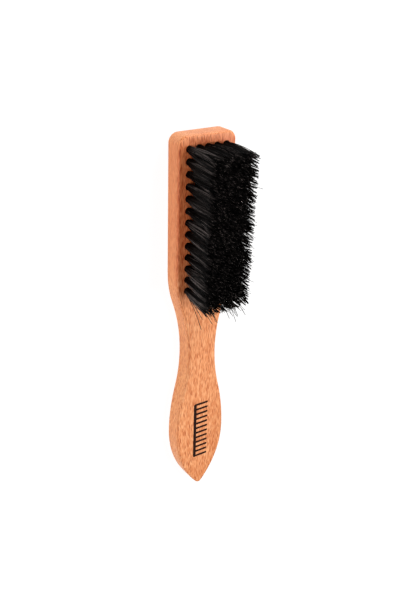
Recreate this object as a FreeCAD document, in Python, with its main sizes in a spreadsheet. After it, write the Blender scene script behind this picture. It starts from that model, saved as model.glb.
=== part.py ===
import FreeCAD, Part
import math
import os

import Sketcher
from FreeCAD import Placement, Rotation, Vector

# A barber's fade brush, lying on its back.  The wooden handle, head and grip in one piece,
# is a flat board with rounded edges.  Thirteen rows of five bristle tufts stand in blind
# holes in the head.  Each tuft is folded round a short piece of flat wire, the anchor, whose
# ends bite into the wall of the hole.
# Frame: +Z the way the bristles point, +Y towards the end of the head, origin under the
# middle of the brush on its flat back.

# alias, value in millimetres (or a count, or degrees), what it is
DIMENSIONS = [
    ("overall_length", 179, "nose of the grip to the end of the head"),
    ("board_thickness", 9, "flat back to the face that holds the tufts"),
    ("head_width", 28.7, "across the straight sides of the head"),
    ("head_corner_radius", 4.4, "outline radius of the two corners at the head's end"),
    ("shoulder_radius", 48.4, "outline radius where the head's side turns in"),
    ("neck_width", 15, "narrowest width"),
    ("neck_from_nose", 75.5, "narrowest place, measured from the nose"),
    ("neck_radius", 78.6, "hollow outline radius of the neck"),
    ("grip_width", 26.3, "widest width of the leaf-shaped grip"),
    ("grip_from_nose", 31, "widest place of the grip, measured from the nose"),
    ("nose_radius", 1.9, "outline radius of the nose"),
    ("edge_rounding", 1.2, "round-over of the outline's edges, front and back"),
    ("row_count", 13, "rows of tufts along the head"),
    ("row_pitch", 5.3, "row to row"),
    ("column_count", 5, "tufts in a row"),
    ("column_pitch", 4.6, "tuft to tuft in a row"),
    ("first_row_inset", 5.7, "end of the head to the middle of row 1"),
    ("hole_diameter", 3.2, "drilled blind hole"),
    ("hole_depth", 6.5, "from the face"),
    ("tuft_root_diameter", 3.1, "folded bundle in its hole"),
    ("tuft_fold_radius", 1.2, "rounded fold at the bottom of the bundle"),
    ("tuft_tip_diameter", 4.4, "bundle at its trimmed end"),
    ("bristle_height", 20, "trimmed end above the face"),
    ("anchor_length", 4.1, "longer than the hole is wide, so both ends bite"),
    ("anchor_thickness", 0.4, "flat wire, thin way"),
    ("anchor_width", 1.8, "flat wire, wide way, which stands upright"),
    ("anchor_above_bottom", 1.0, "bristle fold between the anchor and the hole's bottom"),
    ("anchor_end_bevel", 0.25, "sheared lower corners"),
    ("anchor_angle", 45, "turned from the grain, so that the ends don't split it"),
]

SHEET = "dims"


def make_sheet(doc):
    """The driving dimensions, one aliased cell each."""
    sheet = doc.addObject("Spreadsheet::Sheet", SHEET)
    for row, (alias, number, meaning) in enumerate(DIMENSIONS, start=1):
        sheet.set(f"A{row}", alias)
        sheet.set(f"B{row}", str(number))
        sheet.set(f"C{row}", meaning)
        sheet.setAlias(f"B{row}", alias)
    doc.recompute()
    return sheet


def origin_feature(body, role):
    """The body's own origin plane or axis with that role, such as XY_Plane or X_Axis."""
    return next(f for f in body.Origin.OriginFeatures if f.Role == role)


def add_body(doc, label):
    body = doc.addObject("PartDesign::Body", label)
    body.Label = label
    return body


def add_sketch(body, name, plane, height=None):
    """A sketch on one of the body's origin planes, raised by the formula height if given."""
    sketch = body.newObject("Sketcher::SketchObject", name)
    sketch.AttachmentSupport = [(origin_feature(body, plane), "")]
    sketch.MapMode = "FlatFace"
    if height:
        sketch.setExpression("AttachmentOffset.Base.z", height)
    return sketch


def drawn_value(sketch, kind, places):
    """What a dimension of the sketch measures as drawn, before it is driven."""
    if kind == "Radius":
        return sketch.Geometry[places[0]].Radius
    if kind == "Diameter":
        return 2 * sketch.Geometry[places[0]].Radius
    gap = sketch.getPoint(*places[2:]) - sketch.getPoint(*places[:2])
    return gap.x if kind == "DistanceX" else gap.y


def add_dimension(sketch, name, formula, kind, *places):
    """A named driving constraint whose value follows a formula of the sheet."""
    drawn = drawn_value(sketch, kind, places)
    index = sketch.addConstraint(Sketcher.Constraint(kind, *places, drawn))
    sketch.renameConstraint(index, name)
    sketch.setExpression(f"Constraints.{name}", formula)


def turned_box_sketch(body, name, height):
    """A rectangle of the anchor's length and thickness about the origin, at the anchor's angle."""
    sketch = add_sketch(body, name, "XY_Plane", height)
    sketch.setExpression("AttachmentOffset.Rotation.Angle", "dims.anchor_angle")
    far, near = Vector(2, 0.2, 0), Vector(-2, -0.2, 0)
    corners = [near, Vector(far.x, near.y, 0), far, Vector(near.x, far.y, 0)]
    for start, end in zip(corners, corners[1:] + corners[:1]):
        sketch.addGeometry(Part.LineSegment(start, end))
    for side in range(4):
        sketch.addConstraint(Sketcher.Constraint("Coincident", side, 2, (side + 1) % 4, 1))
    for side in (0, 2):
        sketch.addConstraint(Sketcher.Constraint("Horizontal", side))
        sketch.addConstraint(Sketcher.Constraint("Vertical", side + 1))
    sketch.addConstraint(Sketcher.Constraint("Symmetric", 0, 1, 2, 1, -1, 1))
    add_dimension(sketch, "length", "dims.anchor_length", "DistanceX", 0, 1, 0, 2)
    add_dimension(sketch, "thickness", "dims.anchor_thickness", "DistanceY", 1, 1, 1, 2)
    return sketch


def pattern_row(body, originals, name):
    """Repeats features along +X, once for each column."""
    pattern = body.newObject("PartDesign::LinearPattern", name)
    pattern.Originals = originals
    pattern.Direction = (origin_feature(body, "X_Axis"), [""])
    pattern.setExpression("Length", "(dims.column_count - 1) * dims.column_pitch")
    pattern.setExpression("Occurrences", "dims.column_count")
    body.Tip = pattern
    return pattern


# ---------------------------------------------------------------- wooden handle


def outline_centres(d):
    """Centres and radii of the outline's arcs on the +X side, from nose to head."""
    nose_y = -d("overall_length") / 2
    grip = Vector(d("grip_width") / 2, nose_y + d("grip_from_nose"), 0)
    nose = Vector(0, nose_y + d("nose_radius"), 0)
    # The flank ends at the widest place, and the nose's arc touches it from inside.
    rise, width, small = grip.y - nose.y, grip.x, d("nose_radius")
    flank_radius = (rise**2 + width**2 - small**2) / (2 * (width - small))
    neck_radius = d("neck_radius")
    neck = Vector(d("neck_width") / 2 + neck_radius, nose_y + d("neck_from_nose"), 0)
    # The upper grip's arc starts at the widest place and touches the neck's arc.
    out, up = neck.x - grip.x, neck.y - grip.y
    upper_radius = (out**2 + up**2 - neck_radius**2) / (2 * (neck_radius - out))
    shoulder_radius = d("shoulder_radius")
    shoulder_x = d("head_width") / 2 - shoulder_radius
    climb = math.sqrt((neck_radius + shoulder_radius) ** 2 - (neck.x - shoulder_x) ** 2)
    return {
        "nose": (nose, small),
        "flank": (Vector(grip.x - flank_radius, grip.y, 0), flank_radius),
        "upper": (Vector(grip.x - upper_radius, grip.y, 0), upper_radius),
        "neck": (neck, neck_radius),
        "shoulder": (Vector(shoulder_x, neck.y + climb, 0), shoulder_radius),
    }


def direction(start, end):
    return math.atan2(end.y - start.y, end.x - start.x)


# The outline's +X half, in the order that it is drawn, and the places on each line or arc.
NOSE, FLANK, UPPER, NECK, SHOULDER, SIDE, CORNER, END, CENTRE_LINE = range(9)
START, FINISH, CENTRE = 1, 2, 3
ORIGIN, Y_AXIS = (-1, 1), -2


def draw_outline(sketch, d):
    """The +X half of the outline: six tangent arcs, the head's straight side and the centre line."""
    centres = outline_centres(d)
    nose, flank, upper, neck, shoulder = (
        centres[k][0] for k in ("nose", "flank", "upper", "neck", "shoulder")
    )
    half, end_y, corner = d("head_width") / 2, d("overall_length") / 2, d("head_corner_radius")
    at_nose = direction(flank, nose)
    at_neck = direction(upper, neck)
    at_shoulder = direction(shoulder, neck)
    angles = {
        "nose": (-math.pi / 2, at_nose),
        "flank": (at_nose, 0),
        "upper": (0, at_neck),
        "neck": (math.pi + at_shoulder, math.pi + at_neck),
        "shoulder": (at_shoulder, 0),
    }
    for name, (start, end) in angles.items():
        centre, radius = centres[name]
        circle = Part.Circle(centre, Vector(0, 0, 1), radius)
        sketch.addGeometry(Part.ArcOfCircle(circle, start, end))
    sketch.addGeometry(Part.LineSegment(Vector(half, shoulder.y, 0), Vector(half, end_y - corner, 0)))
    turn = Part.Circle(Vector(half - corner, end_y - corner, 0), Vector(0, 0, 1), corner)
    sketch.addGeometry(Part.ArcOfCircle(turn, 0, math.pi / 2))
    sketch.addGeometry(Part.LineSegment(Vector(half - corner, end_y, 0), Vector(0, end_y, 0)))
    sketch.addGeometry(Part.LineSegment(Vector(0, end_y, 0), Vector(0, -end_y, 0)))


def constrain_outline(sketch):
    """Joins the outline's lines and arcs, all tangent except at the centre line."""
    tangents = [
        (NOSE, FINISH, FLANK, START),
        (FLANK, FINISH, UPPER, START),
        (UPPER, FINISH, NECK, FINISH),
        (NECK, START, SHOULDER, START),
        (SHOULDER, FINISH, SIDE, START),
        (SIDE, FINISH, CORNER, START),
        (CORNER, FINISH, END, START),
    ]
    for places in tangents:
        sketch.addConstraint(Sketcher.Constraint("Tangent", *places))
    sketch.addConstraint(Sketcher.Constraint("Coincident", END, FINISH, CENTRE_LINE, START))
    sketch.addConstraint(Sketcher.Constraint("Coincident", CENTRE_LINE, FINISH, NOSE, START))
    for place in ((NOSE, START), (NOSE, CENTRE), (END, FINISH)):
        sketch.addConstraint(Sketcher.Constraint("PointOnObject", *place, Y_AXIS))
    sketch.addConstraint(Sketcher.Constraint("Vertical", SIDE))
    sketch.addConstraint(Sketcher.Constraint("Horizontal", END))
    sketch.addConstraint(Sketcher.Constraint("Horizontal", FLANK, CENTRE, FLANK, FINISH))


def drive_outline(sketch):
    """Binds the outline to the sheet."""
    nose_end, widest, neck_centre = (NOSE, START), (FLANK, FINISH), (NECK, CENTRE)
    half_length = "dims.overall_length / 2"
    neck_out = "dims.neck_width / 2 + dims.neck_radius"
    add_dimension(sketch, "nose_end", half_length, "DistanceY", *nose_end, *ORIGIN)
    add_dimension(sketch, "head_end", half_length, "DistanceY", *ORIGIN, END, FINISH)
    add_dimension(sketch, "half_head", "dims.head_width / 2", "DistanceX", *ORIGIN, SIDE, START)
    add_dimension(sketch, "half_grip", "dims.grip_width / 2", "DistanceX", *ORIGIN, *widest)
    add_dimension(sketch, "grip_place", "dims.grip_from_nose", "DistanceY", *nose_end, *widest)
    add_dimension(sketch, "neck_out", neck_out, "DistanceX", *ORIGIN, *neck_centre)
    add_dimension(sketch, "neck_place", "dims.neck_from_nose", "DistanceY", *nose_end, *neck_centre)
    add_dimension(sketch, "nose_radius", "dims.nose_radius", "Radius", NOSE)
    add_dimension(sketch, "neck_radius", "dims.neck_radius", "Radius", NECK)
    add_dimension(sketch, "shoulder_radius", "dims.shoulder_radius", "Radius", SHOULDER)
    add_dimension(sketch, "corner_radius", "dims.head_corner_radius", "Radius", CORNER)


def make_half_board(doc, d):
    """The sharp-edged front half of the board's thickness: half the outline, padded and mirrored."""
    body = add_body(doc, "half_board")
    sketch = add_sketch(body, "board_outline", "XY_Plane", "dims.board_thickness / 2")
    draw_outline(sketch, d)
    constrain_outline(sketch)
    drive_outline(sketch)
    pad = body.newObject("PartDesign::Pad", "board_pad")
    pad.Profile = sketch
    pad.setExpression("Length", "dims.board_thickness / 2")
    doc.recompute()
    mirror = body.newObject("PartDesign::Mirrored", "board_mirror")
    mirror.Originals = [pad]
    mirror.MirrorPlane = (origin_feature(body, "YZ_Plane"), [""])
    body.Tip = mirror
    doc.recompute()
    return body


def make_rounded_board(doc, d):
    """The whole board with its front and back edges rounded over."""
    half_board = make_half_board(doc, d)
    top = d("board_thickness") - 0.01
    edges = [
        (index, d("edge_rounding"), d("edge_rounding"))
        for index, edge in enumerate(half_board.Shape.Edges, start=1)
        if edge.BoundBox.ZMin > top
    ]
    front = doc.addObject("Part::Fillet", "front_half")
    front.Base = half_board
    front.Edges = edges
    back = doc.addObject("Part::Mirroring", "back_half")
    back.Source = front
    back.Normal = Vector(0, 0, 1)
    back.setExpression("Base.z", "dims.board_thickness / 2")
    whole = doc.addObject("Part::Fuse", "rounded_board")
    whole.Base = front
    whole.Tool = back
    whole.Refine = True
    doc.recompute()
    return whole


def make_handle(doc, d):
    """The wooden handle: the rounded board with a drilled hole and an anchor slot per tuft."""
    body = add_body(doc, "handle_body")
    body.BaseFeature = make_rounded_board(doc, d)
    first_x = "-(dims.column_count - 1) / 2 * dims.column_pitch"
    first_y = "dims.overall_length / 2 - dims.first_row_inset"

    drill = add_sketch(body, "hole_sketch", "XY_Plane", "dims.board_thickness")
    drill.setExpression("AttachmentOffset.Base.x", first_x)
    drill.setExpression("AttachmentOffset.Base.y", first_y)
    drill.addGeometry(Part.Circle(Vector(0, 0, 0), Vector(0, 0, 1), 1))
    drill.addConstraint(Sketcher.Constraint("Coincident", 0, 3, -1, 1))
    add_dimension(drill, "diameter", "dims.hole_diameter", "Diameter", 0)
    hole = body.newObject("PartDesign::Pocket", "tuft_hole")
    hole.Profile = drill
    hole.setExpression("Length", "dims.hole_depth")

    slit = turned_box_sketch(body, "slot_sketch", "dims.board_thickness")
    slit.setExpression("AttachmentOffset.Base.x", first_x)
    slit.setExpression("AttachmentOffset.Base.y", first_y)
    slot = body.newObject("PartDesign::Pocket", "anchor_slot")
    slot.Profile = slit
    slot.setExpression("Length", "dims.hole_depth - dims.anchor_above_bottom")
    doc.recompute()

    pattern = pattern_row(body, [hole, slot], "hole_pattern")
    pattern.Direction2 = (origin_feature(body, "Y_Axis"), [""])
    pattern.Reversed2 = True
    pattern.setExpression("Length2", "(dims.row_count - 1) * dims.row_pitch")
    pattern.setExpression("Occurrences2", "dims.row_count")
    doc.recompute()
    check_holes(d, body.BaseFeature.Shape.Volume, slot.Shape.Volume, pattern.Shape.Volume)
    return body


def check_holes(d, uncut, first_cut, all_cut):
    """Stops the run unless every tuft's hole and slot takes away the same volume as the first."""
    wanted = (uncut - first_cut) * d("row_count") * d("column_count")
    if uncut - first_cut < 1 or abs(uncut - all_cut - wanted) > 0.01 * wanted:
        raise RuntimeError(f"the holes take {uncut - all_cut}, not {wanted} cubic mm")


# ---------------------------------------------------------------- tufts and anchors


def place_row(body, row):
    """Moves a row's body so that its first column is over the first hole of that row."""
    body.setExpression("Placement.Base.x", "-(dims.column_count - 1) / 2 * dims.column_pitch")
    body.setExpression(
        "Placement.Base.y",
        f"dims.overall_length / 2 - dims.first_row_inset - {row - 1} * dims.row_pitch",
    )


HOLE_BOTTOM = "dims.board_thickness - dims.hole_depth"
ANCHOR_LOW = f"{HOLE_BOTTOM} + dims.anchor_above_bottom"

# The tuft's profile, in the order that it is drawn.
FLOOR, FOLD, ROOT, FLARE, TRIM, MIDDLE = range(6)


def draw_tuft_profile(sketch, d):
    """Half of a tuft's upright section: rounded fold, root in the hole, flare, trimmed end."""
    bottom, face = d("board_thickness") - d("hole_depth"), d("board_thickness")
    end = face + d("bristle_height")
    root, tip = d("tuft_root_diameter") / 2, d("tuft_tip_diameter") / 2
    fold = d("tuft_fold_radius")
    points = [
        Vector(0, bottom, 0),
        Vector(root - fold, bottom, 0),
        Vector(root, bottom + fold, 0),
        Vector(root, face, 0),
        Vector(tip, end, 0),
        Vector(0, end, 0),
    ]
    sketch.addGeometry(Part.LineSegment(points[0], points[1]))
    turn = Part.Circle(Vector(root - fold, bottom + fold, 0), Vector(0, 0, 1), fold)
    sketch.addGeometry(Part.ArcOfCircle(turn, -math.pi / 2, 0))
    for start, stop in zip(points[2:], points[3:] + points[:1]):
        sketch.addGeometry(Part.LineSegment(start, stop))
    sketch.addConstraint(Sketcher.Constraint("Tangent", FLOOR, 2, FOLD, 1))
    sketch.addConstraint(Sketcher.Constraint("Tangent", FOLD, 2, ROOT, 1))
    for line in (ROOT, FLARE, TRIM):
        sketch.addConstraint(Sketcher.Constraint("Coincident", line, 2, line + 1, 1))
    sketch.addConstraint(Sketcher.Constraint("Coincident", MIDDLE, 2, FLOOR, 1))
    sketch.addConstraint(Sketcher.Constraint("PointOnObject", FLOOR, 1, -2))
    sketch.addConstraint(Sketcher.Constraint("PointOnObject", TRIM, 2, -2))
    sketch.addConstraint(Sketcher.Constraint("Horizontal", FLOOR))
    sketch.addConstraint(Sketcher.Constraint("Vertical", ROOT))
    sketch.addConstraint(Sketcher.Constraint("Horizontal", TRIM))


def drive_tuft_profile(sketch):
    """Binds the tuft's profile to the sheet."""
    trim_height = "dims.board_thickness + dims.bristle_height"
    root_radius, tip_radius = "dims.tuft_root_diameter / 2", "dims.tuft_tip_diameter / 2"
    add_dimension(sketch, "bottom", HOLE_BOTTOM, "DistanceY", -1, 1, FLOOR, 1)
    add_dimension(sketch, "root_radius", root_radius, "DistanceX", -1, 1, ROOT, 2)
    add_dimension(sketch, "face", "dims.board_thickness", "DistanceY", -1, 1, ROOT, 2)
    add_dimension(sketch, "fold_radius", "dims.tuft_fold_radius", "Radius", FOLD)
    add_dimension(sketch, "tip_radius", tip_radius, "DistanceX", -1, 1, FLARE, 2)
    add_dimension(sketch, "trim", trim_height, "DistanceY", -1, 1, FLARE, 2)


def make_tuft_row(doc, d, row):
    """Five tufts: each a folded bundle, flared to its trimmed end, with a slot for its anchor."""
    body = add_body(doc, f"tuft_row_{row:02d}")
    sketch = add_sketch(body, f"tuft_profile_{row:02d}", "XZ_Plane")
    draw_tuft_profile(sketch, d)
    drive_tuft_profile(sketch)
    bundle = body.newObject("PartDesign::Revolution", f"tuft_bundle_{row:02d}")
    bundle.Profile = sketch
    bundle.ReferenceAxis = (sketch, ["V_Axis"])
    bundle.Angle = 360

    slit = turned_box_sketch(body, f"tuft_slot_sketch_{row:02d}", ANCHOR_LOW)
    slot = body.newObject("PartDesign::Pocket", f"tuft_slot_{row:02d}")
    slot.Profile = slit
    slot.Reversed = True
    slot.setExpression("Length", "dims.anchor_width")
    doc.recompute()
    pattern_row(body, [bundle, slot], f"tuft_pattern_{row:02d}")
    place_row(body, row)
    return body


# The anchor's outline, in the order that it is drawn.
BOTTOM, RIGHT_BEVEL, RIGHT_END, TOP, LEFT_END, LEFT_BEVEL = range(6)


def draw_anchor_profile(sketch, d):
    """An upright piece of flat wire seen from its wide side, with sheared lower corners."""
    half, bevel = d("anchor_length") / 2, d("anchor_end_bevel")
    low = d("board_thickness") - d("hole_depth") + d("anchor_above_bottom")
    high = low + d("anchor_width")
    corners = [
        Vector(-half + bevel, low, 0),
        Vector(half - bevel, low, 0),
        Vector(half, low + bevel, 0),
        Vector(half, high, 0),
        Vector(-half, high, 0),
        Vector(-half, low + bevel, 0),
    ]
    for start, stop in zip(corners, corners[1:] + corners[:1]):
        sketch.addGeometry(Part.LineSegment(start, stop))
    for line in range(6):
        sketch.addConstraint(Sketcher.Constraint("Coincident", line, 2, (line + 1) % 6, 1))
    for line in (RIGHT_END, LEFT_END):
        sketch.addConstraint(Sketcher.Constraint("Vertical", line))
    for line in (BOTTOM, TOP):
        sketch.addConstraint(Sketcher.Constraint("Symmetric", line, 1, line, 2, -2))
    sketch.addConstraint(Sketcher.Constraint("Horizontal", RIGHT_BEVEL, 2, LEFT_BEVEL, 1))


def drive_anchor_profile(sketch):
    """Binds the anchor's outline to the sheet."""
    half_length, bevel = "dims.anchor_length / 2", "dims.anchor_end_bevel"
    bevel_ends = (RIGHT_BEVEL, 1, RIGHT_BEVEL, 2)
    add_dimension(sketch, "low", ANCHOR_LOW, "DistanceY", -1, 1, BOTTOM, 1)
    add_dimension(sketch, "height", "dims.anchor_width", "DistanceY", BOTTOM, 2, TOP, 1)
    add_dimension(sketch, "half_length", half_length, "DistanceX", -1, 1, TOP, 1)
    add_dimension(sketch, "bevel_out", bevel, "DistanceX", *bevel_ends)
    add_dimension(sketch, "bevel_up", bevel, "DistanceY", *bevel_ends)


def make_anchor_row(doc, d, row):
    """Five anchors, each turned by the anchor's angle from the board's length."""
    body = add_body(doc, f"anchor_row_{row:02d}")
    sketch = add_sketch(body, f"anchor_profile_{row:02d}", "XZ_Plane")
    sketch.AttachmentOffset = Placement(Vector(), Rotation(Vector(0, 1, 0), d("anchor_angle")))
    sketch.setExpression("AttachmentOffset.Rotation.Angle", "dims.anchor_angle")
    draw_anchor_profile(sketch, d)
    drive_anchor_profile(sketch)
    wire = body.newObject("PartDesign::Pad", f"anchor_wire_{row:02d}")
    wire.Profile = sketch
    wire.SideType = "Symmetric"
    wire.setExpression("Length", "dims.anchor_thickness")
    doc.recompute()
    pattern_row(body, [wire], f"anchor_pattern_{row:02d}")
    place_row(body, row)
    return body


# ---------------------------------------------------------------- checks and export


def check_document(doc, parts, solids_wanted):
    """Stops the run if any object failed or a sub-part isn't the solids it should be."""
    failed = [o.Name for o in doc.Objects if {"Invalid", "Error"} & set(o.State)]
    if failed:
        raise RuntimeError(f"these objects failed: {failed}")
    for part in parts:
        shape = part.Shape
        if shape.isNull() or not shape.isValid():
            raise RuntimeError(f"{part.Label} has no valid shape")
        if len(shape.Solids) != solids_wanted[part.Label]:
            raise RuntimeError(f"{part.Label} has {len(shape.Solids)} solids")


def main():
    doc = FreeCAD.newDocument("fade_brush")
    sheet = make_sheet(doc)
    d = sheet.get
    parts = [make_handle(doc, d)]
    solids_wanted = {"handle_body": 1}
    for row in range(1, int(d("row_count")) + 1):
        for part in (make_tuft_row(doc, d, row), make_anchor_row(doc, d, row)):
            parts.append(part)
            solids_wanted[part.Label] = int(d("column_count"))
    doc.recompute()
    check_document(doc, parts, solids_wanted)
    os.makedirs("parts", exist_ok=True)
    for part in parts:
        part.Shape.exportStep(f"parts/{part.Label}.step")
        box = part.Shape.BoundBox
        print(part.Label, len(part.Shape.Solids), round(part.Shape.Volume, 2), box)


main()
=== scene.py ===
import math

import bpy
import numpy as np
from mathutils import Matrix, Vector


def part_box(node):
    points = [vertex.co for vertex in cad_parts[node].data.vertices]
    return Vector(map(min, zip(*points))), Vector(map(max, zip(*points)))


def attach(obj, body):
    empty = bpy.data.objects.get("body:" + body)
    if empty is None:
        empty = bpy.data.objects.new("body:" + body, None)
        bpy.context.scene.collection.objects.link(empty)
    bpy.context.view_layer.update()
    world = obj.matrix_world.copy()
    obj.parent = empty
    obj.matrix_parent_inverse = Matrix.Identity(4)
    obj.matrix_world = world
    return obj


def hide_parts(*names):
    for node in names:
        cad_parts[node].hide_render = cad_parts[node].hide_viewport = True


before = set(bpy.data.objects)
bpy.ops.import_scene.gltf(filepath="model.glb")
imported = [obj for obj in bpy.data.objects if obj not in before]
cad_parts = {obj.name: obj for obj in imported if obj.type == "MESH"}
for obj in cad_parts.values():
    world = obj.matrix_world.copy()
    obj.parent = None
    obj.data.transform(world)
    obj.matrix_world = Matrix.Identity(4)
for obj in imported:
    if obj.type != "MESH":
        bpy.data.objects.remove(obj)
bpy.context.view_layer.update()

# A barber's fade brush: the wooden handle and the flat-wire anchors are the CAD model's own,
# and every CAD tuft is replaced by folded bristles.  Lengths are in millimetres, made metres
# where an object is built.
# +Z is the way the bristles point, +Y runs to the end of the head, X goes across the board.

MM = 0.001
SEED = 20
BODY = "root"


def node_box(node):
    """A CAD node's lowest and highest corners, in millimetres."""
    low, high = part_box(node)
    return np.array(low) / MM, np.array(high) / MM


HANDLE = "handle_body"
FACE_Z = node_box(HANDLE)[1][2]
TUFT_ROWS = sorted(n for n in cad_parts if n.startswith("tuft_row_"))
ANCHOR_ROWS = sorted(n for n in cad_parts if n.startswith("anchor_row_"))


# ------------------------------------------------------------------ materials

# Slanted layers are sheared from this far down -Y, well beyond the nose, so that two of them
# never line up on the board itself.  In Z they move this share of what they move in X.
SHEAR_START = 200.0
SHEAR_UP = 0.6


class Graph:
    """One material's node tree, with short calls for the nodes used here."""

    def __init__(self, name):
        self.material = bpy.data.materials.new(name)
        self.material.use_nodes = True
        self.nodes = self.material.node_tree.nodes
        self.links = self.material.node_tree.links
        self.shader = self.nodes["Principled BSDF"]
        place = self.nodes.new("ShaderNodeTexCoord")
        self.place_mm = self.vector("SCALE", place.outputs["Object"], scale=1 / MM)
        split = self.nodes.new("ShaderNodeSeparateXYZ")
        self.links.new(self.place_mm, split.inputs[0])
        self.parts = split.outputs[:]

    def put(self, socket, value):
        """Links an output to a socket, or sets the socket to a plain value."""
        if isinstance(value, bpy.types.NodeSocket):
            self.links.new(value, socket)
        else:
            socket.default_value = value

    def vector(self, operation, first, second=None, scale=None):
        node = self.nodes.new("ShaderNodeVectorMath")
        node.operation = operation
        self.put(node.inputs[0], first)
        if second is not None:
            self.put(node.inputs[1], second)
        if scale is not None:
            self.put(node.inputs["Scale"], scale)
        return node.outputs[0]

    def math(self, operation, *values):
        node = self.nodes.new("ShaderNodeMath")
        node.operation = operation
        for socket, value in zip(node.inputs, values):
            self.put(socket, value)
        return node.outputs[0]

    def product(self, first, *others):
        for value in others:
            first = self.math("MULTIPLY", first, value)
        return first

    def noise(self, place, density, detail=2.0, roughness=0.5):
        """Noise from 0 to 1, with about this many features per millimetre along X, Y and Z."""
        node = self.nodes.new("ShaderNodeTexNoise")
        self.put(node.inputs["Vector"], self.vector("MULTIPLY", place, density))
        node.inputs["Scale"].default_value = 1.0
        node.inputs["Detail"].default_value = detail
        node.inputs["Roughness"].default_value = roughness
        return node.outputs["Fac"]

    def cells(self, place, density):
        """Distance to the nearest of one random point per cell, and a random colour for it."""
        node = self.nodes.new("ShaderNodeTexVoronoi")
        self.put(node.inputs["Vector"], self.vector("MULTIPLY", place, density))
        node.inputs["Scale"].default_value = 1.0
        return node.outputs["Distance"], node.outputs["Color"]

    def slanted(self, slant):
        """The place in millimetres, moved in X and Z by its distance along Y from a far point."""
        far = self.math("ADD", self.parts[1], SHEAR_START)
        shear = self.vector("SCALE", (slant, 0.0, slant * SHEAR_UP), scale=far)
        return self.vector("ADD", self.place_mm, shear)

    def stretch(self, value, low, high, to_low=0.0, to_high=1.0):
        """Maps low..high to to_low..to_high with soft ends, and clamps outside."""
        node = self.nodes.new("ShaderNodeMapRange")
        node.interpolation_type = "SMOOTHSTEP"
        self.put(node.inputs["Value"], value)
        for name, number in (
            ("From Min", low),
            ("From Max", high),
            ("To Min", to_low),
            ("To Max", to_high),
        ):
            node.inputs[name].default_value = number
        return node.outputs["Result"]

    def blend(self, amount, first, second, mode="MIX"):
        """Mixes two colours, given as outputs or as (r, g, b)."""
        node = self.nodes.new("ShaderNodeMix")
        node.data_type = "RGBA"
        node.blend_type = mode
        self.put(node.inputs["Factor"], amount)
        for socket, colour in ((node.inputs["A"], first), (node.inputs["B"], second)):
            self.put(socket, colour if isinstance(colour, bpy.types.NodeSocket) else (*colour, 1))
        return node.outputs["Result"]

    def attribute(self, name):
        node = self.nodes.new("ShaderNodeAttribute")
        node.attribute_name = name
        return node.outputs["Fac"]

    def bump(self, height, distance_mm, strength=1.0):
        node = self.nodes.new("ShaderNodeBump")
        node.inputs["Strength"].default_value = strength
        node.inputs["Distance"].default_value = distance_mm * MM
        self.put(node.inputs["Height"], height)
        self.put(self.shader.inputs["Normal"], node.outputs["Normal"])

    def set(self, **sockets):
        """Sets shader sockets, such as base_color, roughness or coat_weight."""
        for name, value in sockets.items():
            socket = self.shader.inputs[name.replace("_", " ").title().replace("Ior", "IOR")]
            if isinstance(value, tuple) and len(value) == 3:
                value = (*value, 1)
            self.put(socket, value)


# The wood's colours, in linear light, and the tints and painted shades that multiply them.
DARK_BAND, MIDDLE_BAND, PALE_BAND = (0.86, 0.325, 0.125), (0.97, 0.405, 0.168), (0.99, 0.435, 0.185)
FIBRE = (0.72, 0.21, 0.070)
PALE_PATCH = (1.00, 0.47, 0.21)
PALE_WEAVE = (1.00, 0.53, 0.27)
RAY = (0.60, 0.155, 0.042)
DASH = (0.50, 0.115, 0.030)
STREAK = (0.70, 0.20, 0.068)
HEAD_TINT = (0.99, 0.85, 0.76)
# Painted shade from the tufts, on the face among them.
TUFTED_FACE_PAINTED_SHADE = (1.00, 0.66, 0.53)
# Painted shade on the grip's +X edge and nose.
GRIP_EDGE_PAINTED_SHADE = (0.93, 0.87, 0.82)
# Painted shade on the -X side, on the grip and on the head.
GRIP_SIDE_PAINTED_SHADE = (0.90, 0.84, 0.71)
HEAD_SIDE_PAINTED_SHADE = (0.81, 0.73, 0.64)
LINE_TINT = (0.86, 0.84, 0.82)
# How much of the head's tint the end grain takes, and of the grip edge's painted shade the nose.
END_GRAIN_SHARE = 0.2
NOSE_SHARE = 0.8

# Its features per millimetre along X, Y and Z: few along Y, so that they run along the board.
SWAY_DENSITY = (0.05, 0.03, 0.05)
BAND_DENSITY = (0.24, 0.008, 0.16)
FIBRE_DENSITY = (3.2, 0.16, 3.2)
PATCH_DENSITY = (0.09, 0.035, 0.09)
WEAVE_DENSITY = (2.8, 0.26, 2.8)
STREAK_DENSITY = (1.3, 0.014, 1.3)
# The bands and streaks sway by this much, the weave is two layers with these slants, and the
# dashes are two layers with these densities and slants.
SWAY = 5.0
WEAVE_SLANTS = (0.11, -0.11)
DASH_LAYERS = (((1.40, 0.18, 1.40), 0.12), ((1.65, 0.21, 1.65), -0.09))
# The values between which a noise turns from one look to the next.
DARK_TO_MIDDLE, MIDDLE_TO_PALE = (0.36, 0.52), (0.48, 0.66)
FIBRE_LIMITS, PATCH_LIMITS = (0.32, 0.68), (0.40, 0.65)
RAY_LIMITS, PALE_WEAVE_LIMITS = (0.33, 0.47), (0.46, 0.56)
DASH_RADII, DASH_SHADES = (0.20, 0.38), (0.10, 0.50)
STREAK_LIMITS = (0.50, 0.66)
# The most that a layer covers the one below.  Flecks have a rise from the head's sides to the
# flat faces, and what they show on the head's sides; the grip's sides are partly like a face.
FIBRE_COVER, PATCH_COVER, PALE_WEAVE_COVER = 0.35, 0.25, 0.48
RAY_COVER, DASH_COVER, STREAK_COVER = (0.32, 0.22), (0.50, 0.35), (-0.22, 0.36)
GRIP_SIDE_FLATNESS = 0.6

# Where the wood's look changes, in Y.
HEAD_START = (5.0, 45.0)
END_GRAIN = (84.0, 90.0)
TUFTED_FACE_START = (12.0, 24.0)
LEFT_SIDE_END = (85.0, 88.0)
LINE_START = (-50.0, -25.0)
GRIP_END = (-45.0, -30.0)
NOSE_END = (-86.0, -76.0)
# In X.
LEFT_SIDE = (-4.0, -2.0)
GRIP_EDGE = (4.0, 10.0)
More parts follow.
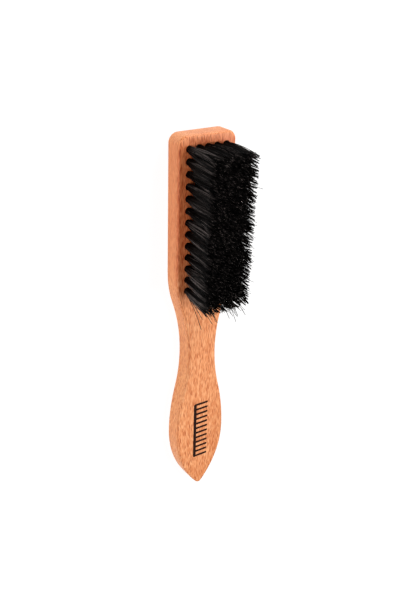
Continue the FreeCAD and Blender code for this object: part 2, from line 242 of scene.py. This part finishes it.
# And in depth below the face.
FLAT_DEPTHS = (1.4, 0.2)
TUFTED_FACE_DEPTH = 1.2
SIDE_DEPTHS = (0.9, 0.2)
LINE_DEPTHS = (0.45, 0.18)
LINE_FADE = 0.05


def growth_colour(g, swayed, fibres):
    """The wood before its flecks: growth bands, fibres and pale patches."""
    bands = g.noise(swayed, BAND_DENSITY, detail=3, roughness=0.45)
    patches = g.noise(g.place_mm, PATCH_DENSITY, detail=2)
    colour = g.blend(g.stretch(bands, *DARK_TO_MIDDLE), DARK_BAND, MIDDLE_BAND)
    colour = g.blend(g.stretch(bands, *MIDDLE_TO_PALE), colour, PALE_BAND)
    colour = g.blend(g.stretch(fibres, *FIBRE_LIMITS, 0.0, FIBRE_COVER), colour, FIBRE)
    return g.blend(g.stretch(patches, *PATCH_LIMITS, 0.0, PATCH_COVER), colour, PALE_PATCH)


def flecked(g, colour, head, swayed):
    """The colour with its flecks on it, and the rays on their own.

    The flat faces have short dashes with paler wood between, the head's sides have long streaks,
    and the grip's sides have some of both.
    """
    half = FACE_Z / 2
    from_middle = g.math("ABSOLUTE", g.math("SUBTRACT", g.parts[2], half))
    flat = g.stretch(from_middle, *(half - depth for depth in FLAT_DEPTHS))
    grip_side = g.math("MULTIPLY_ADD", head, -GRIP_SIDE_FLATNESS, GRIP_SIDE_FLATNESS)
    flat = g.math("MAXIMUM", flat, grip_side)

    layers = [g.noise(g.slanted(slant), WEAVE_DENSITY, detail=0) for slant in WEAVE_SLANTS]
    weave = g.math("MINIMUM", *layers)
    ray_cover = g.math("MULTIPLY_ADD", flat, *RAY_COVER)
    rays = g.product(g.stretch(weave, *RAY_LIMITS, 1.0, 0.0), ray_cover)
    pale = g.product(g.stretch(weave, *PALE_WEAVE_LIMITS), PALE_WEAVE_COVER)
    colour = g.blend(pale, colour, PALE_WEAVE)
    colour = g.blend(rays, colour, RAY)

    dash_cover = g.math("MULTIPLY_ADD", flat, *DASH_COVER)
    for density, slant in DASH_LAYERS:
        distance, shade = g.cells(g.slanted(slant), density)
        near = g.stretch(distance, *DASH_RADII, 1.0, 0.0)
        dash = g.product(near, g.stretch(shade, *DASH_SHADES), dash_cover)
        colour = g.blend(dash, colour, DASH)

    streaks = g.stretch(g.noise(swayed, STREAK_DENSITY, detail=2), *STREAK_LIMITS)
    streak_cover = g.math("MULTIPLY_ADD", flat, *STREAK_COVER)
    return g.blend(g.product(streaks, streak_cover), colour, STREAK), rays


def tinted_and_painted_shade(g, colour, head):
    """The colour with the head's tint, the -X side's edge line, and painted shade among the
    tufts, on the grip's edge and on the -X side.
    """
    across, along, up = g.parts
    # The wood is redder at the head, and its face among the tufts is painted redder and darker
    # still, as painted shade from the tufts.
    low = FACE_Z - TUFTED_FACE_DEPTH
    face = g.product(g.stretch(along, *TUFTED_FACE_START), g.stretch(up, low, FACE_Z))
    colour_multiplier = g.blend(face, HEAD_TINT, TUFTED_FACE_PAINTED_SHADE)
    colour = g.blend(head, colour, colour_multiplier, mode="MULTIPLY")
    # Painted shade: the grip is painted a shade darker towards its +X edge and its nose.
    edge = g.product(g.stretch(across, *GRIP_EDGE), g.stretch(along, *GRIP_END, 1.0, 0.0))
    edge = g.math("MAXIMUM", edge, g.stretch(along, *NOSE_END, NOSE_SHARE, 0.0))
    colour = g.blend(edge, colour, GRIP_EDGE_PAINTED_SHADE, mode="MULTIPLY")
    # Painted shade: the -X side is painted a shade darker.  A darker line runs along its upper
    # edge.
    left = g.product(
        g.stretch(across, *LEFT_SIDE, 1.0, 0.0), g.stretch(along, *LEFT_SIDE_END, 1.0, 0.0)
    )
    low, high = (FACE_Z - depth for depth in SIDE_DEPTHS)
    side = g.product(left, g.stretch(up, low, high, 1.0, 0.0))
    colour_multiplier = g.blend(head, GRIP_SIDE_PAINTED_SHADE, HEAD_SIDE_PAINTED_SHADE)
    colour = g.blend(side, colour, colour_multiplier, mode="MULTIPLY")
    low, high = (FACE_Z - depth for depth in LINE_DEPTHS)
    fade = g.stretch(up, FACE_Z - LINE_FADE, FACE_Z, 1.0, 0.0)
    line = g.product(left, g.stretch(up, low, high), fade, g.stretch(along, *LINE_START))
    return g.blend(line, colour, LINE_TINT, mode="MULTIPLY")


def beech():
    """Steamed beech under satin oil: soft growth bands, fine fibres and short dark ray flecks."""
    g = Graph("beech_satin")
    along = g.parts[1]
    sway = g.vector("SCALE", g.noise(g.place_mm, SWAY_DENSITY, detail=1), scale=SWAY)
    swayed = g.vector("ADD", g.place_mm, sway)
    fibres = g.noise(g.place_mm, FIBRE_DENSITY, detail=3, roughness=0.65)
    end_grain = g.stretch(along, *END_GRAIN, 1.0, END_GRAIN_SHARE)
    head = g.product(g.stretch(along, *HEAD_START), end_grain)
    colour = growth_colour(g, swayed, fibres)
    colour, rays = flecked(g, colour, head, swayed)
    # Tints, with painted shade among the tufts, on the grip's edge and on the -X side.
    colour = tinted_and_painted_shade(g, colour, head)

    g.set(base_color=colour, specular_ior_level=0.35, coat_weight=0.06, coat_roughness=0.35)
    g.set(roughness=g.stretch(fibres, 0.3, 0.7, 0.44, 0.58))
    relief = g.math("SUBTRACT", g.product(fibres, 0.6), rays)
    g.bump(relief, distance_mm=0.05, strength=0.5)
    return g.material


BRISTLE_BLACK, BRISTLE_GREY = (0.0004, 0.0003, 0.0003), (0.19, 0.160, 0.150)
BRASS_BRIGHT, BRASS_DULL = (0.80, 0.58, 0.25), (0.52, 0.34, 0.14)
PRINT_THICK, PRINT_THIN = (0.010, 0.0030, 0.0022), (0.040, 0.013, 0.008)


def bristle():
    """Black bristle: most hairs are near black, and a few locks are dark brown-grey."""
    g = Graph("black_bristle")
    streak = g.noise(g.place_mm, (2.0, 2.0, 0.25), detail=2)
    # The hair tone carries painted shade near the roots, the ends and inside the block, and painted
    # highlights on the head's end and on some cut ends.
    tone = g.product(g.attribute("hair_tone_and_painted_light"), g.stretch(streak, 0.3, 0.7, 0.5, 1.2))
    g.set(base_color=g.blend(tone, BRISTLE_BLACK, BRISTLE_GREY))
    g.set(specular_ior_level=0.05, roughness=g.stretch(tone, 0.0, 1.0, 0.36, 0.50))
    return g.material


def brass_wire():
    """Drawn flat brass wire: fine lines along it and slightly dull patches."""
    g = Graph("anchor_brass")
    lines = g.noise(g.place_mm, (1.5, 1.5, 22.0), detail=2)
    dull = g.noise(g.place_mm, (0.9, 0.9, 0.9), detail=3)
    colour = g.blend(g.stretch(dull, 0.35, 0.7), BRASS_BRIGHT, BRASS_DULL)
    g.set(base_color=colour, metallic=1.0, roughness=g.stretch(lines, 0.3, 0.7, 0.22, 0.42))
    g.bump(lines, distance_mm=0.01, strength=0.4)
    return g.material


def printed_mark():
    """Dark brown pad print, thinner where the wood's grain takes it up."""
    g = Graph("printed_mark")
    grain = g.noise(g.place_mm, (3.2, 0.25, 3.2), detail=3, roughness=0.6)
    colour = g.blend(g.stretch(grain, 0.35, 0.75), PRINT_THICK, PRINT_THIN)
    g.set(base_color=colour, specular_ior_level=0.12)
    g.set(roughness=g.stretch(grain, 0.3, 0.7, 0.55, 0.75))
    return g.material


def use_material(piece, material):
    piece.data.materials.clear()
    piece.data.materials.append(material)


def repaint(node, material):
    """Gives a CAD node's object a material, leaving its mesh alone."""
    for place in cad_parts[node].material_slots:
        place.link = "OBJECT"
        place.material = material


# ------------------------------------------------------------------ bristles

COLUMNS = 5
# A tuft is this many hairs, folded: each has two ends, spread over a disc in the hole.
FILAMENTS = 120
ROOT_RADIUS = 1.36
ROOT_JITTER = 0.03
# Where the hairs are sorted for folding, roots in the same band across count as level.
SORTING_BAND = 0.4
FOLD_GAP = 0.02
GOLDEN_ANGLE = math.pi * (3 - math.sqrt(5))

# A hair is a tube with this many sides.  Its radius is given at the face and at its end.
HAIR_SIDES = 3
HAIR_RADIUS = (0.085, 0.088)
TAPER_POWER = 1.5
RADIUS_SPREAD = (0.85, 1.1)
# A hair is stouter the further its end strays from its root, between these distances.
STRAY_RUN = (4.0, 6.0)
STRAY_STOUTNESS = 1.6
# Its stations above the face, as shares of its free height.
HEIGHTS = np.array([0.0, 0.15, 0.35, 0.55, 0.75, 0.9, 1.0])

# The anchor stands this far above the hole's bottom and parts the hairs by this much.
ANCHOR_BAND = (1.0, 2.8)
ANCHOR_CLEARANCE = 0.31
ANCHOR_ANGLE = 45
# The fold's depth under the anchor: at the anchor, and how much more at the hole's wall.
FOLD_DEPTH = (0.35, 0.4)
# Where a hair starts to turn under the anchor, as shares of its place across and of its depth.
TURN_ACROSS, TURN_DOWN = 0.8, 0.6
# Its next stations, above the anchor's lower edge and above its upper one.
ABOVE_ANCHOR = (0.35, 0.1)

# A tuft's trimmed ends fill a cell with these half sizes, in small locks.
TIP_CELL = (2.45, 2.85)
TIP_SCATTER = 0.6
LOCKS = 26
LOCK_SCATTER = 0.25
LOCK_PULL = 0.5
LOCK_PULL_SPREAD = (0.5, 1.4)
TUFT_WANDER = (0.25, 0.4)
# The +X column scatters less and gathers more, reaches further out, and keeps only a part of
# its cell's length, which leaves notches between its tufts.
EDGE_SCATTER = (0.25, 0.6)
EDGE_PULL = 0.65
EDGE_REACH = 1.12
EDGE_LENGTHS = (0.72, 1.0)
# The end rows' cells, as shares of the plain cell: widths across the board, reach along it.
GRIP_ROW_WIDTHS = (0.92, 1.04)
GRIP_ROW_REACH = 1.18
HEAD_ROW_REACH = 0.8
# Below 1, more of the ends in those outer tufts stand near their cell's limits.
CROWDING = 0.65
# The ends of the whole block close up a little across.  Its head end leans to +X and -Y and its
# grip end to -X, and the last row at the grip leans to -Y too.
BLOCK_CLOSING = 0.95
BLOCK_SHIFT = -0.1
BLOCK_TWIST = 0.9
HEAD_LEAN = -2.0
GRIP_LEAN = -0.3

# Loose hairs: the share of a tuft's ends, and how far they reach out and sideways.  At the grip
# they root beyond a line across the tuft, and the first share is for the two columns at -X.
LOOSE_SHARE, LOOSE_REACH = 0.03, 1.1
GRIP_LOOSE_ROOTS = -0.3
GRIP_LOOSE_SHARES, GRIP_LOOSE_REACH, GRIP_LOOSE_SIDEWAYS = (0.09, 0.06), (2.0, 9.0), 1.0
EDGE_LOOSE_SHARE, EDGE_LOOSE_REACH, EDGE_LOOSE_SIDEWAYS = 0.025, (0.3, 1.5), 0.5
HEAD_LOOSE_SHARE, HEAD_LOOSE_REACH = 0.02, (0.8, 2.5)
# They curl away from the block more and more, and end lower by this much per square of reach.
LOOSE_POWER = 2.0
LOOSE_DROP = 0.03

# How far the hairs bow sideways at mid height, by lock and by hair.
LOCK_BOW, HAIR_BOW = 0.45, 0.28
# They fan out from root to end nearly evenly with height.
SPREAD_POWER = 0.95
# How far ends stop short of the trim, by lock and by hair, and for the few short hairs.
LOCK_UNEVENNESS, HAIR_UNEVENNESS = 0.3, 0.2
SHORT_SHARE, SHORT_BY = 0.10, (0.2, 1.8)

# Tones: 0 is black and 1 the palest brown-grey.  High powers make few locks and hairs pale.
TONE, LOCK_TONE_POWER, HAIR_TONE_POWER = 2.8, 3.5, 2.5
# Painted shade keeps the hairs inside the block near black, and a painted highlight makes those on
# the head's end paler.
INNER_PAINTED_SHADE = 0.3
HEAD_END_PAINTED_HIGHLIGHT = 1.45
# Painted glints on cut ends: how pale, and how rare.
GLINT, GLINT_POWER = 1.5, 22
# Painted shade: hairs are painted dark near the face and near their ends, for the shade in the
# holes and among the packed ends.  This is how far above the face and below the trim that
# changes, and the share of its tone that a hair has at each of those levels.
LIT_FROM, LIT_TO = (1, 7), (5, 1)
LIT = (0.1, 1.0, 1.0, 0.15)


def split_tuft_row(node):
    """The centres of a CAD row's tufts, and the levels of their folds and trimmed ends."""
    low, high = node_box(node)
    radius = (high[1] - low[1]) / 2
    xs = np.linspace(low[0] + radius, high[0] - radius, COLUMNS)
    return [np.array((x, (low[1] + high[1]) / 2)) for x in xs], low[2], high[2]


def sunflower(count, radius):
    """Evenly spread points in a disc."""
    index = np.arange(count)
    far = radius * np.sqrt((index + 0.5) / count)
    turn = index * GOLDEN_ANGLE
    return np.stack([far * np.cos(turn), far * np.sin(turn)], axis=1)


def disc_to_cell(points, radius, half_cell):
    """Opens a disc's points out over a rectangle with these half sizes."""
    far = np.linalg.norm(points, axis=1, keepdims=True) / radius
    return points / np.abs(points).max(axis=1, keepdims=True) * far * half_cell


def turn_from_anchor(along, across):
    """Places given along the anchor and across it, in X and Y."""
    turn = math.radians(ANCHOR_ANGLE)
    x = along * math.cos(turn) - across * math.sin(turn)
    y = along * math.sin(turn) + across * math.cos(turn)
    return np.stack([x, y], axis=-1)


def crowded(values, limit):
    """Places within a limit either way, moved outward so that more of them stand near it."""
    return np.sign(values) * limit * np.abs(values / limit) ** CROWDING


def tip_places(rng, roots, centre, grid):
    """Where the trimmed ends stand, relative to the tuft's centre, and which lock each is in."""
    column, row = grid
    cell, scatter, pull = np.array(TIP_CELL), np.array((TIP_SCATTER, TIP_SCATTER)), LOCK_PULL
    if column == COLUMNS - 1:
        scatter, pull = scatter * EDGE_SCATTER, EDGE_PULL
        cell = cell * (EDGE_REACH, rng.uniform(*EDGE_LENGTHS))
    if row == -1:
        cell = cell * (rng.uniform(*GRIP_ROW_WIDTHS), GRIP_ROW_REACH)
    if row == 1:
        cell = cell * (1.0, HEAD_ROW_REACH)
    spread = disc_to_cell(roots, ROOT_RADIUS, cell)
    if column == COLUMNS - 1:
        spread[:, 0] = crowded(spread[:, 0], cell[0])
    if abs(row) == 1:
        spread[:, 1] = crowded(spread[:, 1], cell[1])
    tips = spread + rng.normal(0, 1, roots.shape) * scatter
    seeds = disc_to_cell(sunflower(LOCKS, 1), 1, cell) + rng.normal(0, LOCK_SCATTER, (LOCKS, 2))
    lock = np.argmin(((tips[:, None] - seeds[None]) ** 2).sum(2), axis=1)
    pulls = pull * rng.uniform(*LOCK_PULL_SPREAD, (LOCKS, 1))
    tips += pulls[lock] * (seeds[lock] - tips)
    lean_x = (BLOCK_CLOSING - 1) * centre[0] + BLOCK_SHIFT + BLOCK_TWIST * row
    lean_y = HEAD_LEAN * (1 + row) / 2 + (GRIP_LEAN if row == -1 else 0.0)
    return tips + (lean_x, lean_y) + rng.normal(0, TUFT_WANDER), lock


def loose_reach(rng, roots, grid):
    """How far the few hairs that stand away from their tuft reach out at their ends."""
    column, row = grid
    count = len(roots)
    reach = np.zeros_like(roots)
    loose = rng.random(count) < LOOSE_SHARE
    reach[loose] = rng.normal(0, LOOSE_REACH, (loose.sum(), 2))
    if row == -1:
        share = GRIP_LOOSE_SHARES[0 if column < COLUMNS // 2 else 1]
        outer = (roots[:, 1] < GRIP_LOOSE_ROOTS) & (rng.random(count) < share)
        reach[outer, 1] -= rng.uniform(*GRIP_LOOSE_REACH, outer.sum())
        reach[outer, 0] += rng.normal(0, GRIP_LOOSE_SIDEWAYS, outer.sum())
    if column == COLUMNS - 1:
        outer = (roots[:, 0] > 0) & (rng.random(count) < EDGE_LOOSE_SHARE)
        reach[outer, 0] += rng.uniform(*EDGE_LOOSE_REACH, outer.sum())
        reach[outer, 1] += rng.normal(0, EDGE_LOOSE_SIDEWAYS, outer.sum())
    if row == 1 and column > COLUMNS // 2:
        outer = (roots[:, 1] > 0) & (rng.random(count) < HEAD_LOOSE_SHARE)
        reach[outer, 1] += rng.uniform(*HEAD_LOOSE_REACH, outer.sum())
    return reach


def greyness_and_painted_light(roots, grid):
    """How grey each hair may be: those inside the block stay near black, as painted shade,
    and those on the head's end are paler, as painted highlight.
    """
    column, row = grid
    x, y = roots.T
    left, right = (x < 0) & (column == 0), (x > 0) & (column == COLUMNS - 1)
    outer = left | right | ((y < 0) & (row == -1))
    head_end = (y > 0) & (row == 1)
    return np.where(head_end, HEAD_END_PAINTED_HIGHLIGHT, np.where(outer, 1.0, INNER_PAINTED_SHADE))


def hair_tones_with_painted_light(rng, z, trim, lock, grey):
    """Each station's tone: painted shade near black at roots and ends, greyer between on a few
    hairs, and painted glints on some ends.
    """
    by_lock = TONE * rng.random(LOCKS)[lock] ** LOCK_TONE_POWER
    tones = by_lock * rng.random(len(lock)) ** HAIR_TONE_POWER * grey
    # Painted highlights: some cut ends are painted paler, as glints.
    glints = GLINT * rng.random(len(lock)) ** GLINT_POWER
    # Painted shade near the face and near the trim.
    levels = [FACE_Z + above for above in LIT_FROM] + [trim - below for below in LIT_TO]
    tones = tones[:, None] * np.interp(z, levels, LIT)
    tones[:, -1] += glints
    return tones


def hair_ends(rng, spread, centre, levels, grid):
    """Every end of a tuft's hairs: stations from just above the fold up to the trimmed end."""
    hole_bottom, trim = levels
    anchor_low, anchor_high = hole_bottom + ANCHOR_BAND[0], hole_bottom + ANCHOR_BAND[1]
    along, across = spread.T
    count = len(spread)
    squeeze = 1 - ANCHOR_CLEARANCE / ROOT_RADIUS
    clear = np.sign(across) * (ANCHOR_CLEARANCE + np.abs(across) * squeeze)
    depth = FOLD_DEPTH[0] + FOLD_DEPTH[1] * np.abs(clear) / ROOT_RADIUS
    stations = [
        (turn_from_anchor(along, TURN_ACROSS * clear), anchor_low - TURN_DOWN * depth),
        (turn_from_anchor(along, clear), np.full(count, anchor_low + ABOVE_ANCHOR[0])),
        (turn_from_anchor(along, clear), np.full(count, anchor_high + ABOVE_ANCHOR[1])),
    ]
    roots = turn_from_anchor(along, across)
    tips, lock = tip_places(rng, roots, centre, grid)
    loose = loose_reach(rng, roots, grid)
    bow = rng.normal(0, LOCK_BOW, (LOCKS, 2))[lock] + rng.normal(0, HAIR_BOW, (count, 2))
    height = trim - FACE_Z - np.abs(rng.normal(0, LOCK_UNEVENNESS, LOCKS))[lock]
    height -= np.abs(rng.normal(0, HAIR_UNEVENNESS, count))
    short = rng.random(count) < SHORT_SHARE
    height[short] -= rng.uniform(*SHORT_BY, short.sum())
    height -= LOOSE_DROP * (loose**2).sum(axis=1)
    for h in HEIGHTS:
        place = roots + (tips - roots) * h**SPREAD_POWER
        place = place + bow * math.sin(math.pi * h) + loose * h**LOOSE_POWER
        stations.append((place, FACE_Z + height * h))
    paths = np.stack([np.column_stack([p + centre, z]) for p, z in stations], axis=1)
    tones = hair_tones_with_painted_light(rng, paths[:, :, 2], trim, lock, greyness_and_painted_light(roots, grid))
    return paths, depth, tones


def tuft_filaments(rng, centre, levels, grid):
    """A tuft's hairs as paths, up one side of the anchor, under it and up the other, and tones."""
    spread = sunflower(2 * FILAMENTS, ROOT_RADIUS)
    spread = spread + rng.normal(0, ROOT_JITTER, (2 * FILAMENTS, 2))
    spread = spread[np.argsort(spread[:, 1])]
    left, right = spread[:FILAMENTS][::-1], spread[FILAMENTS:]
    left = left[np.lexsort((left[:, 0], np.round(-left[:, 1] / SORTING_BAND)))]
    right = right[np.lexsort((right[:, 0], np.round(right[:, 1] / SORTING_BAND)))]
    left[:, 1] = np.minimum(left[:, 1], -FOLD_GAP)
    right[:, 1] = np.maximum(right[:, 1], FOLD_GAP)
    ends, depth, tones = hair_ends(rng, np.concatenate([right, left]), centre, levels, grid)
    first, second = ends[:FILAMENTS], ends[FILAMENTS:]
    middle = (first[:, 0, :2] + second[:, 0, :2]) / 2
    fold = np.column_stack([middle, levels[0] + ANCHOR_BAND[0] - depth[:FILAMENTS]])
    paths = np.concatenate([first[:, ::-1], fold[:, None], second], axis=1)
    first_tones, second_tones = tones[:FILAMENTS], tones[FILAMENTS:]
    return paths, np.concatenate([first_tones[:, ::-1], first_tones[:, :1], second_tones], axis=1)


def tube_mesh(name, paths, radii, tones):
    """One mesh of closed thin tubes, one along each path."""
    count, stations, _ = paths.shape
    tangents = np.gradient(paths, axis=1)
    tangents /= np.linalg.norm(tangents, axis=2, keepdims=True)
    # The fold lies in one upright plane, so its normal makes a frame that never twists.
    middle = stations // 2
    span = paths[:, middle + 1] - paths[:, middle - 1]
    plane = np.cross(span, np.array([0.0, 0.0, 1.0]))
    plane /= np.linalg.norm(plane, axis=1, keepdims=True)
    side = plane[:, None] - tangents * (tangents * plane[:, None]).sum(2, keepdims=True)
    side /= np.linalg.norm(side, axis=2, keepdims=True)
    other = np.cross(tangents, side)
    angles = np.arange(HAIR_SIDES)[:, None] * 2 * math.pi / HAIR_SIDES
    ring = np.cos(angles) * side[:, :, None] + np.sin(angles) * other[:, :, None]
    points = (paths[:, :, None] + ring * radii[:, :, None, None]).reshape(-1, 3)

    ring_start = (np.arange(count)[:, None] * stations + np.arange(stations)) * HAIR_SIDES
    near = ring_start[:, :-1, None] + np.arange(HAIR_SIDES)
    turned = ring_start[:, :-1, None] + (np.arange(HAIR_SIDES) + 1) % HAIR_SIDES
    walls = np.stack([near, turned, turned + HAIR_SIDES, near + HAIR_SIDES], axis=-1).reshape(-1, 4)
    first_caps = ring_start[:, 0, None] + np.arange(HAIR_SIDES)[::-1]
    last_caps = ring_start[:, -1, None] + np.arange(HAIR_SIDES)
    mesh = bpy.data.meshes.new(name)
    faces = walls.tolist() + first_caps.tolist() + last_caps.tolist()
    mesh.from_pydata((points * MM).tolist(), [], faces)
    mesh.shade_smooth()
    tone = mesh.attributes.new("hair_tone_and_painted_light", "FLOAT", "POINT")
    tone.data.foreach_set("value", np.repeat(tones, HAIR_SIDES).astype(np.float32))
    return mesh


def hair_radii(rng, paths, trim):
    """The radius at every station: nearly even, and more above the face on hairs that stray."""
    heights = np.clip((paths[:, :, 2] - FACE_Z) / (trim - FACE_Z), 0, 1)
    at_face, at_end = HAIR_RADIUS
    radii = at_face + (at_end - at_face) * heights**TAPER_POWER
    radii *= rng.uniform(*RADIUS_SPREAD, (len(paths), 1))
    free = len(HEIGHTS)
    for end, face, above in ((0, free - 1, slice(0, free)), (-1, -free, slice(-free, None))):
        run = np.linalg.norm(paths[:, end, :2] - paths[:, face, :2], axis=1)
        radii[:, above] *= np.interp(run, STRAY_RUN, (1, STRAY_STOUTNESS))[:, None]
    return radii


def make_bristle_row(node, index, rng, material):
    """Replaces one CAD tuft row by its five tufts of folded bristles."""
    centres, bottom, trim = split_tuft_row(node)
    # From 1 at the head's end to -1 at the grip.
    row = 1 - 2 * index / (len(TUFT_ROWS) - 1)
    tufts = [
        tuft_filaments(rng, centre, (bottom, trim), (column, row))
        for column, centre in enumerate(centres)
    ]
    paths, tones = (np.concatenate(parts) for parts in zip(*tufts))
    radii = hair_radii(rng, paths, trim)
    name = node.replace("tuft_row", "bristles_row")
    piece = bpy.data.objects.new(name, tube_mesh(name, paths, radii, tones))
    bpy.context.scene.collection.objects.link(piece)
    use_material(piece, material)
    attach(piece, BODY)
    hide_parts(node)


# ------------------------------------------------------------------ printed mark

MARK_CENTRE_Y = -57.0
MARK_LENGTH = 31.0
MARK_WIDTH = 8.0
MARK_SPINE = 1.6
MARK_TOOTH = 1.15
MARK_TEETH = 12
MARK_THICKNESS = 0.03
ROUND_STEPS = 6


def half_round(centre, radius, start):
    """Points of half a circle, turning anticlockwise from the start angle."""
    angles = start + np.linspace(0, math.pi, ROUND_STEPS + 1)
    return [(centre[0] + radius * math.cos(a), centre[1] + radius * math.sin(a)) for a in angles]


def comb_outline():
    """A plain comb lying along the grip: its spine at -X and its round-ended teeth towards +X."""
    half, left = MARK_LENGTH / 2, -MARK_WIDTH / 2
    tooth = MARK_TOOTH / 2
    pitch = (MARK_LENGTH - MARK_TOOTH) / (MARK_TEETH - 1)
    points = []
    for i in range(MARK_TEETH):
        y = -half + tooth + i * pitch
        end_x = MARK_WIDTH / 2 - tooth
        points.append((left + MARK_SPINE, y - tooth))
        points += half_round((end_x, y), tooth, -math.pi / 2)
        points.append((left + MARK_SPINE, y + tooth))
    corner = MARK_SPINE / 2
    for a in np.linspace(0, math.pi / 2, ROUND_STEPS)[1:]:
        points.append((left + corner - corner * math.sin(a), half - corner + corner * math.cos(a)))
    for a in np.linspace(0, math.pi / 2, ROUND_STEPS):
        points.append((left + corner - corner * math.cos(a), -half + corner - corner * math.sin(a)))
    return points


def make_mark(material):
    """The comb as a film of print: a closed solid whose lower side is just in the wood."""
    outline = comb_outline()
    low, high = FACE_Z - MARK_THICKNESS / 2, FACE_Z + MARK_THICKNESS / 2
    count = len(outline)
    points = [(x, MARK_CENTRE_Y + y, z) for z in (low, high) for x, y in outline]
    faces = [list(range(count))[::-1], list(range(count, 2 * count))]
    faces += [[i, (i + 1) % count, (i + 1) % count + count, i + count] for i in range(count)]
    mesh = bpy.data.meshes.new("grip_mark")
    mesh.from_pydata([tuple(c * MM for c in p) for p in points], [], faces)
    piece = bpy.data.objects.new("grip_mark", mesh)
    bpy.context.scene.collection.objects.link(piece)
    use_material(piece, material)
    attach(piece, BODY)


# ------------------------------------------------------------------ floor, light and camera

AIM = Vector((-1.84, 13.56, FACE_Z)) * MM
CAMERA_AZIMUTH = 139.29
CAMERA_ELEVATION = 48.40
CAMERA_ROLL = 124.24
CAMERA_DISTANCE = 355.14 * MM
CAMERA_LENS = 47.15
CAMERA_SENSOR = 36
# The near clip, the floor's size and the lights' size and distance are in metres.
CLIP_START = 0.01
FLOOR_SIZE = 6.0
FLOOR_Z = -0.05 * MM
FLOOR_GREY = 0.14
FLOOR_GLOW = 0.93
WORLD_LIGHT = 0.06
LIGHT_DISTANCE = 1.0
LIGHT_SIZE = 0.5
# Each light's azimuth and elevation, in degrees, and its power.
LIGHTS = {
    "key": (0, 60, 7.4),
    "head_fill": (60, 12, 6.4),
    "side_fill": (180, 26, 4.9),
    "grip_fill": (240, 35, 1.6),
}


def from_angles(azimuth, elevation):
    """Unit vector at an azimuth, anticlockwise from +X, and an elevation, in degrees."""
    turn, rise = math.radians(azimuth), math.radians(elevation)
    flat = math.cos(rise)
    return Vector((flat * math.cos(turn), flat * math.sin(turn), math.sin(rise)))


def facing(towards, roll=0.0):
    """Rotation whose -Z looks against the vector towards, turned about it by roll degrees."""
    upright = towards.to_track_quat("Z", "Y").to_matrix()
    return (upright @ Matrix.Rotation(math.radians(roll), 3, "Z")).to_4x4()


def make_camera():
    data = bpy.data.cameras.new("camera")
    data.lens = CAMERA_LENS
    data.sensor_width = data.sensor_height = CAMERA_SENSOR
    data.clip_start = CLIP_START
    camera = bpy.data.objects.new("camera", data)
    towards = from_angles(CAMERA_AZIMUTH, CAMERA_ELEVATION)
    place = Matrix.Translation(AIM + towards * CAMERA_DISTANCE)
    camera.matrix_world = place @ facing(towards, CAMERA_ROLL)
    bpy.context.scene.collection.objects.link(camera)
    bpy.context.scene.camera = camera


def make_light(name, azimuth, elevation, power):
    data = bpy.data.lights.new(name, "AREA")
    data.shape = "DISK"
    data.size = LIGHT_SIZE
    data.energy = power
    light = bpy.data.objects.new(name, data)
    towards = from_angles(azimuth, elevation)
    light.matrix_world = Matrix.Translation(AIM + towards * LIGHT_DISTANCE) @ facing(towards)
    bpy.context.scene.collection.objects.link(light)


def make_floor():
    """A pale floor that glows almost to white, so that only a trace of shadow shows on it."""
    mesh = bpy.data.meshes.new("floor")
    half = FLOOR_SIZE / 2
    square = ((-half, -half), (half, -half), (half, half), (-half, half))
    corners = [(x, y, FLOOR_Z) for x, y in square]
    mesh.from_pydata(corners, [], [(0, 1, 2, 3)])
    floor = bpy.data.objects.new("floor", mesh)
    bpy.context.scene.collection.objects.link(floor)
    g = Graph("pale_floor")
    g.set(base_color=(FLOOR_GREY,) * 3, roughness=0.9, specular_ior_level=0.0)
    g.set(emission_color=(1.0, 1.0, 1.0), emission_strength=FLOOR_GLOW)
    use_material(floor, g.material)


def make_world():
    """White to the camera, and a weaker white as light."""
    world = bpy.data.worlds.new("studio")
    bpy.context.scene.world = world
    world.use_nodes = True
    nodes, links = world.node_tree.nodes, world.node_tree.links
    path = nodes.new("ShaderNodeLightPath")
    strength = nodes.new("ShaderNodeMapRange")
    strength.inputs["To Min"].default_value = WORLD_LIGHT
    strength.inputs["To Max"].default_value = 1.0
    links.new(path.outputs["Is Camera Ray"], strength.inputs["Value"])
    links.new(strength.outputs["Result"], nodes["Background"].inputs["Strength"])
    nodes["Background"].inputs["Color"].default_value = (1, 1, 1, 1)


def main():
    bpy.context.scene.view_settings.view_transform = "Standard"
    make_camera()
    make_world()
    make_floor()
    for name, (azimuth, elevation, power) in LIGHTS.items():
        make_light(name, azimuth, elevation, power)

    repaint(HANDLE, beech())
    wire = brass_wire()
    for node in ANCHOR_ROWS:
        repaint(node, wire)
    hair = bristle()
    rng = np.random.default_rng(SEED)
    for index, node in enumerate(TUFT_ROWS):
        make_bristle_row(node, index, rng, hair)
    make_mark(printed_mark())


main()
